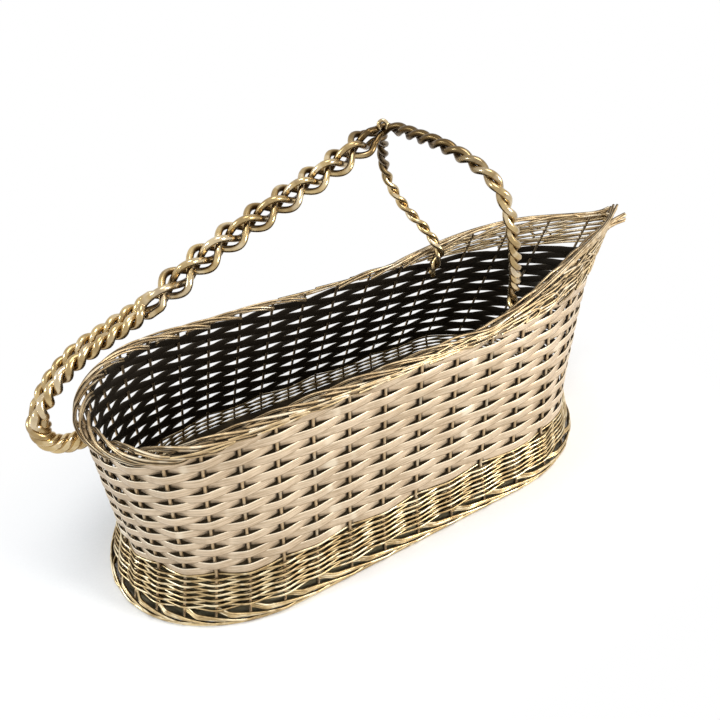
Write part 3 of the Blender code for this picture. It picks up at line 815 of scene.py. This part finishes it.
def rope_part(quarter):
    """A strand in the pairs of the rear rope, and on through the wall: core, strand and radii."""
    centre = through(REAR)
    frames = carried_frames(centre, (0.0, 1.0, 0.0))
    share = np.linspace(0.0, 1.0, len(centre))
    side_sign = 1.0 if quarter in (0, 3) else -1.0
    outer = 1.0 if quarter in (0, 1) else -1.0
    part, meet = smooth_step(share / 0.12), smooth_step((share - 0.65) / 0.12)
    sideways = side_sign * (OUTER_HALF * (1 - part) + ROPE_SPREAD * part * (1 - meet)
                            + ENTRY_HALF * meet)
    reach = (PAIR_REACH * (1 - part) + ROPE_REACH * part) * (1 - meet) + ENTRY_HALF * meet
    turning = np.clip((share - 0.05) / 0.61, 0.0, 1.0)
    pair_angle = PAIR_TURN + (math.tau * ROPE_TURNS + math.pi / 2 - PAIR_TURN) * turning
    whole_angle = math.tau * ENTRY_TURNS * np.clip((share - 0.70) / 0.26, 0.0, 1.0)
    across = sideways + outer * reach * np.cos(pair_angle)
    above = outer * reach * np.sin(pair_angle) - side_sign * INNER_HALF * (1 - part)
    line = set_off(centre, frames, *rolled(across, above, whole_angle))
    core = set_off(centre, frames, *rolled(sideways, 0.0, whole_angle))
    radius = BRAID_RADIUS + (ROPE_RADIUS - BRAID_RADIUS) * part
    return core, line, radius * (1 - meet) + ENTRY_RADIUS * meet


def handle_strand(leg, start_angle, hand):
    """One strand from its foot in the hoop, through the braid and the rear rope to the wall."""
    braid_path = through(BRAID)
    frames = carried_frames(braid_path, (0.0, 1.0, 0.0))
    hoop_centre, hoop_line, hoop_radius = hoop_part(leg, start_angle, braid_path, frames)
    braid_line, quarter = braid_part(start_angle, hand, braid_path, frames)
    rope_core, rope_line, rope_radius = rope_part(quarter)
    line = np.concatenate([hoop_line[:-1], braid_line[:-1], rope_line])
    radius = np.concatenate([hoop_radius[:-1], np.full(len(braid_line) - 1, BRAID_RADIUS),
                             rope_radius])
    core = np.concatenate([hoop_centre[:-1], braid_path[:-1], rope_core])
    # Painted shade, as a darker reflection, on the top of the hoop's legs and the braid's start.
    painted_joint_shade, joint = np.zeros(len(line)), len(hoop_centre)
    painted_joint_shade[:joint] = JOINT_SHADE * smooth_step((np.linspace(0.0, 1.0, joint) - 0.5) / 0.25)
    painted_joint_shade[joint:joint + 20] = np.linspace(JOINT_SHADE, 0.0, 20)
    return path(line, size=radius, core=core, shade=painted_joint_shade)


def eye_path():
    """The small eye of wire that stands up where the hoop meets the braid."""
    turn = np.linspace(-0.30, 1.30, 60) * math.pi
    ring = (np.array(EYE_CENTRE) + EYE_RADIUS * np.cos(turn)[:, None] * np.array(EYE_SIDE)
            + EYE_RADIUS * np.sin(turn)[:, None] * np.array(EYE_UPPER))
    return path(ring, size=np.full(len(ring), EYE_WIRE), core=np.tile(EYE_CENTRE, (len(ring), 1)))


# ---------------------------------------------------------------- settings

def length(name, description, default):
    return FloatProperty(name=name, description=description, default=default,
                         subtype="DISTANCE")


def tint(name, description, default):
    return FloatVectorProperty(name=name, description=description, default=default,
                               subtype="COLOR")


def number_of(name, description, default, low, high):
    return IntProperty(name=name, description=description, default=default, min=low, max=high)


class BasketWeave(bpy.types.PropertyGroup):
    strip_width: length("Strip width", "Width of the flat strips", 0.0037)
    strip_thickness: length("Strip thickness", "Thickness of the strips", 0.0005)
    stake_radius: length("Stake radius", "Radius of the upright stakes", 0.0007)
    strip_colour: tint("Strip colour", "Colour of the strips", (0.685, 0.54, 0.38))
    tarnish_colour: tint("Tarnish", "Colour of dulled metal", (0.20, 0.12, 0.045))
    # Painted shade colour for hollows and inner faces.
    inner_shade_colour: tint("Inner shade colour", "Colour of painted shade in hollows", (0.016, 0.011, 0.006))


class BasketWires(bpy.types.PropertyGroup):
    skirt_radius: length("Skirt wire radius", "Radius of skirt wires", 0.00057)
    border_radius: length("Border wire radius", "Radius of rim wires", 0.00055)
    lip_radius: length("Lip wire radius", "Radius of the lip's wires", 0.00058)
    border_wires: number_of("Wires per stake", "Border wires at each stake", 2, 1, 5)
    scallop_wires: number_of("Wires per scallop", "Wires in each foot bundle", 3, 1, 5)
    wire_colour: tint("Wire colour", "Colour of the wires", (0.70, 0.53, 0.28))
    band_height: length("Foot band height", "Height of the foot band", 0.0090)
    band_colour: tint("Band colour", "Colour of the foot band", (0.25, 0.225, 0.145))


class BasketHandle(bpy.types.PropertyGroup):
    handle_colour: tint("Handle colour", "Colour of the strands", (0.64, 0.48, 0.24))
    # Painted shade colour between the strands.
    crevice_shade_colour: tint("Painted shade colour", "Colour of painted shade between strands", (0.065, 0.036, 0.012))
    strand_sides: number_of("Strand sides", "Flats round each strand", 14, 6, 24)


class BasketStage(bpy.types.PropertyGroup):
    floor_colour: tint("Floor colour", "Colour of the floor", (0.86, 0.86, 0.86))
    light_power: FloatProperty(name="Light power", description="Power of the main lamp",
                               default=9.0, subtype="POWER")
    ambient: FloatProperty(name="Ambient light", description="Strength of light from all round",
                           default=0.6)
    shadow_floor: BoolProperty(name="Floor", description="Lay a floor under the basket",
                               default=True)


# ---------------------------------------------------------------- operators

class BASKET_OT_finishes(bpy.types.Operator):
    """Make the basket's metals."""
    bl_idname = "basket.finishes"
    bl_label = "Metals"

    def execute(self, context):
        aging_group()
        streak_group()
        given, wires = context.scene.basket_weave, context.scene.basket_wires
        handle = context.scene.basket_handle
        tarnish, dark = given.tarnish_colour, given.inner_shade_colour
        # In each metal the fourth colour is painted shade for hollows and inner faces; the third
        # is for wear and, with streaks, for painted highlights.
        metal("strip_satin", (given.strip_colour, tarnish, (0.90, 0.80, 0.62), dark),
              (0.30, 0.12), 0.36, 0.5, (-0.4, 0.35, 0.97), (9.0, 2600.0, 0.5, 0.55, 0.64))
        # The stakes are painted pale, as painted light where they show in the skirt; their stored
        # shade darkens them above the waist.
        metal("stake_tan", ((0.97, 0.71, 0.42), tarnish, (0.93, 0.84, 0.66), dark),
              (0.35, 0.5), 0.28, 0.75, (-0.6, 0.25, 0.85))
        metal("wire_gold", (wires.wire_colour, tarnish, (0.93, 0.80, 0.54), (0.07, 0.046, 0.018)),
              (0.5, 0.4), 0.33, 1.0, (-0.2, 0.55, 0.86), (5.0, 0.0, 0.65, 0.7, 0.53))
        metal("border_gold", ((0.68, 0.52, 0.31), tarnish, (0.88, 0.78, 0.60), dark),
              (0.5, 0.25), 0.42, 0.85, (0.0, 0.6, 0.95), (7.0, 0.0, 0.6, 0.5, 0.56))
        metal("lip_cream", ((0.70, 0.54, 0.31), tarnish, (0.90, 0.81, 0.64), dark),
              (0.4, 0.3), 0.44, 0.75, (0.0, 0.7, 0.96), (7.0, 0.0, 0.6, 0.5, 0.55))
        metal("handle_gold", (handle.handle_colour, tarnish, (0.90, 0.80, 0.62),
                              handle.crevice_shade_colour),
              (0.5, 0.3), 0.17, 1.0, (-0.5, 0.45, 0.92), (4.5, 0.0, 0.5, 0.28, 0.55))
        metal("foot_band_grey", (wires.band_colour, (0.10, 0.09, 0.05), (0.55, 0.52, 0.42), dark),
              (0.6, 0.2), 0.32, 0.8)
        # The floor plate is painted near black, as painted shade for the inside of the basket.
        metal("plate_brass", ((0.055, 0.04, 0.022), (0.02, 0.014, 0.008), (0.16, 0.12, 0.07),
                              dark), (0.45, 0.15), 0.5)
        return {"FINISHED"}


class BASKET_OT_strips(bpy.types.Operator):
    """Weave the flat strips round the basket."""
    bl_idname = "basket.strips"
    bl_label = "Flat strips"

    def execute(self, context):
        given = context.scene.basket_weave
        section = flat_strips(given.strip_width, given.strip_thickness, STRIP_CORNER * MM)
        for row in range(FULL_ROWS):
            line = strip_path(row, given.stake_radius / MM, given.strip_thickness / MM)
            lay(f"flat_strip_{row + 1:02d}", [line], section, "strip_satin", "strip_metal",
                f"weave_strip_{row + 1:02d}")
        return {"FINISHED"}


class BASKET_OT_stakes(bpy.types.Operator):
    """Stand the stakes in the foot band."""
    bl_idname = "basket.stakes"
    bl_label = "Stakes and foot band"

    def execute(self, context):
        given, wires = context.scene.basket_weave, context.scene.basket_wires
        lay("stakes", [stake_path(number) for number in range(ROUND)],
            round_wires(given.stake_radius, 10), "stake_tan", "wire_metal", "stake_frame")
        place = rounded_row(0.06)[:-1]
        z = np.full(len(place), wires.band_height / MM / 2)
        facing = wall_facing(place, z)
        band = path(wall(place, z) - BAND_INSET * facing, facing=facing, closed=True)
        section = flat_strips(wires.band_height, BAND_THICKNESS * MM, BAND_CORNER * MM)
        lay("foot_band", [band], section, "foot_band_grey", "plate_metal")
        return {"FINISHED"}


class BASKET_OT_skirt(bpy.types.Operator):
    """Weave the skirt's wires and lay the scallops over the foot band."""
    bl_idname = "basket.skirt"
    bl_label = "Skirt and foot wires"

    def execute(self, context):
        given, wires = context.scene.basket_weave, context.scene.basket_wires
        radius, section = wires.skirt_radius / MM, round_wires(wires.skirt_radius, 7)
        pieces = []
        for number in range(SKIRT_NODES):
            rows = [row for row in range(SKIRT_ROWS)
                    if row * SKIRT_NODES // SKIRT_ROWS == number]
            pieces.append((f"skirt_rows_{number + 1:02d}", f"skirt_wire_{number + 1:02d}",
                           skirt_paths(rows, given.stake_radius / MM, radius)))
        pieces.append(("foot_scallops", "foot_wire_2", scallop_paths(wires.scallop_wires)))
        pieces.append(("foot_edge_wires", "foot_wire_1", foot_edge_paths(radius)))
        for name, node, lines in pieces:
            lay(name, lines, section, "wire_gold", "wire_metal", node)
        return {"FINISHED"}


class BASKET_OT_border(bpy.types.Operator):
    """Lay the border along the rim."""
    bl_idname = "basket.border"
    bl_label = "Border"

    def execute(self, context):
        wires = context.scene.basket_wires
        lay("rim_border", border_paths(wires.border_wires, wires.border_radius / MM),
            round_wires(wires.border_radius, 8), "border_gold", "wire_metal",
            "border_wire_1", "border_wire_2", "border_wire_3")
        return {"FINISHED"}


class BASKET_OT_lip(bpy.types.Operator):
    """Fill the lip with fine wires."""
    bl_idname = "basket.lip"
    bl_label = "Lip wires"

    def execute(self, context):
        radius, stake = (context.scene.basket_wires.lip_radius,
                         context.scene.basket_weave.stake_radius)
        lines = lip_paths(radius / MM, stake / MM) + tail_paths() + edge_wrap_paths()
        lay("lip_wires", lines, round_wires(radius, 7), "lip_cream", "wire_metal",
            *[f"lip_strip_{number}" for number in range(1, 6)])
        return {"FINISHED"}


class BASKET_OT_handle(bpy.types.Operator):
    """Twist and braid the four strands of the handle."""
    bl_idname = "basket.handle"
    bl_label = "Handle"

    def execute(self, context):
        section = round_wires(MM, context.scene.basket_handle.strand_sides)
        plans = [(NEAR_LEG, 180.0, 1.0), (NEAR_LEG, 90.0, -1.0),
                 (FAR_LEG, 0.0, 1.0), (FAR_LEG, 270.0, -1.0)]
        for number, plan in enumerate(plans, 1):
            lines = [handle_strand(*plan)] + ([eye_path()] if number == 1 else [])
            lay(f"handle_rope_{number}", lines, section, "handle_gold", "handle_metal",
                f"handle_strand_{number}")
        return {"FINISHED"}


class BASKET_OT_plate(bpy.types.Operator):
    """Give the floor plate its metal, painted near black as the shade inside the basket."""
    bl_idname = "basket.plate"
    bl_label = "Floor plate"

    def execute(self, context):
        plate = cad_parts["floor_plate"]
        for slot in plate.material_slots:
            slot.material = bpy.data.materials["plate_brass"]
        return {"FINISHED"}


class BASKET_OT_stage(bpy.types.Operator):
    """Set out the floor, the lights and the camera."""
    bl_idname = "basket.stage"
    bl_label = "Stage"

    def execute(self, context):
        given = context.scene.basket_stage
        if given.shadow_floor:
            make_floor_sheet(given.floor_colour)
        make_world(given.ambient)
        for name, (spot, size, share, colour) in LAMPS.items():
            lamp(name, spot, size, given.light_power * share, colour)
        make_camera()
        return {"FINISHED"}


def shown_rays(tree):
    """1 for the rays that show the background: the camera's, a reflection's and clear glass's."""
    ray = tree.add("ShaderNodeLightPath").outputs
    shown = tree.math("MAXIMUM", ray["Is Camera Ray"], ray["Is Glossy Ray"])
    return tree.math("MAXIMUM", shown, ray["Is Transmission Ray"])


def make_world(ambient):
    """Even light from all round, and plain white behind the basket."""
    world = bpy.data.worlds.new("studio")
    world.use_nodes = True
    bpy.context.scene.world = world
    tree = Tree(world.node_tree)
    strength = tree.add("ShaderNodeMix", {0: shown_rays(tree), 2: ambient, 3: 1.0},
                        data_type="FLOAT")
    tree.join(world.node_tree.nodes["Background"], {
        "Color": WHITE, "Strength": strength.outputs[0]})


def make_floor_sheet(colour):
    """A wide white floor: it keeps the shadow near the basket, has a painted, golden-tinted shadow
    under the foot, and shows as white further off.
    """
    mesh = bpy.data.meshes.new("floor_sheet")
    half, z = FLOOR_HALF, FLOOR_Z
    mesh.from_pydata([(-half, -half, z), (half, -half, z), (half, half, z), (-half, half, z)],
                     [], [(0, 1, 2, 3)])
    material, tree, shader = new_material("floor_paper")
    place = tree.add("ShaderNodeTexCoord").outputs["Object"]
    shade = remap(tree, noise(tree, place, 900.0, 2.0), 0.2, 0.8, 0.97, 1.0)
    tinted = mix_colour(tree, 1.0, (*colour, 1.0), shade, "MULTIPLY")
    spot = tree.add("ShaderNodeSeparateXYZ", {0: place}).outputs
    straight = (FOOT["half_length"] - FOOT["end"]) * MM
    ahead = tree.math("ABSOLUTE", tree.minus(spot[0], FOOT_X * MM))
    beyond = tree.math("MAXIMUM", tree.minus(ahead, straight), 0.0)
    beyond = tree.times(beyond, FOOT["half_width"] / FOOT["end"])
    reach = tree.math("SQRT", tree.plus(tree.math("POWER", beyond, 2.0),
                                        tree.math("POWER", spot[1], 2.0)))
    # Painted shadow under the foot, tinted golden as painted light bounced from the skirt.
    tinted = mix_colour(tree, remap(tree, reach, *PAINTED_SHADOW_REACH), (*PAINTED_SHADOW_COLOUR, 1.0), tinted)
    tree.join(shader, {"Base Color": tinted, "Roughness": 0.9, "Specular IOR Level": 0.1})
    white = tree.add("ShaderNodeEmission", {"Color": WHITE, "Strength": 1.0})
    far = tree.times(remap(tree, reach, *FLOOR_TURNS_WHITE), shown_rays(tree))
    both = tree.add("ShaderNodeMixShader", {0: far, 1: shader.outputs[0], 2: white.outputs[0]})
    tree.join(material.node_tree.nodes["Material Output"], {0: both.outputs[0]})
    mesh.materials.append(material)
    floor = linked("floor_sheet", mesh)


def lamp(name, spot, size, power, colour):
    light = bpy.data.lights.new(name, "AREA")
    light.shape, light.size, light.energy, light.color = "DISK", size, power, colour
    item = linked(name, light)
    item.location = spot
    aim = Vector(LAMP_TARGET) - Vector(spot)
    item.rotation_euler = aim.to_track_quat("-Z", "Y").to_euler()


def make_camera():
    """A 30 mm lens over the near rear corner, with the photograph's slight roll."""
    yaw, pitch, roll = map(math.radians, CAMERA_ANGLES.values())
    ahead = np.array([math.sin(yaw) * math.cos(pitch), math.cos(yaw) * math.cos(pitch),
                      -math.sin(pitch)])
    level = np.array([math.cos(yaw), -math.sin(yaw), 0.0])
    right, up = rolled(level, np.cross(level, ahead), -roll)
    data = bpy.data.cameras.new("photo_camera")
    data.sensor_width, data.lens, data.clip_start = 36.0, 30.0, 0.01
    camera = linked("photo_camera", data)
    placed = np.eye(4)
    placed[:3] = np.stack([right, up, -ahead, np.array(CAMERA_SPOT) * MM], 1)
    camera.matrix_world = Matrix(placed.tolist())
    bpy.context.scene.camera = camera


class BASKET_PT_panel(bpy.types.Panel):
    """The basket's settings and the steps that build it."""
    bl_idname = "BASKET_PT_panel"
    bl_label = "Bottle Basket"
    bl_space_type = "VIEW_3D"
    bl_region_type = "UI"
    bl_category = "Basket"

    def draw(self, context):
        for key in GROUPS:
            group = getattr(context.scene, key)
            box = self.layout.box()
            for name in group.__annotations__:
                box.prop(group, name)
        for step in STEPS:
            self.layout.operator(step.bl_idname)


GROUPS = {"basket_weave": BasketWeave, "basket_wires": BasketWires,
          "basket_handle": BasketHandle, "basket_stage": BasketStage}
STEPS = [BASKET_OT_stage, BASKET_OT_finishes, BASKET_OT_strips, BASKET_OT_stakes,
         BASKET_OT_skirt, BASKET_OT_border, BASKET_OT_lip, BASKET_OT_handle, BASKET_OT_plate]


def register():
    for item in [*GROUPS.values(), *STEPS, BASKET_PT_panel]:
        bpy.utils.register_class(item)
    for name, group in GROUPS.items():
        setattr(bpy.types.Scene, name, PointerProperty(type=group))


def unregister():
    for name in GROUPS:
        delattr(bpy.types.Scene, name)
    for item in [BASKET_PT_panel, *reversed(STEPS), *GROUPS.values()]:
        bpy.utils.unregister_class(item)


def main():
    register()
    bpy.context.scene.view_settings.view_transform = "Standard"
    bpy.ops.basket.stage()
    bpy.ops.basket.finishes()
    bpy.ops.basket.strips()
    bpy.ops.basket.stakes()
    bpy.ops.basket.skirt()
    bpy.ops.basket.border()
    bpy.ops.basket.lip()
    bpy.ops.basket.handle()
    bpy.ops.basket.plate()


if __name__ == "__main__":
    main()
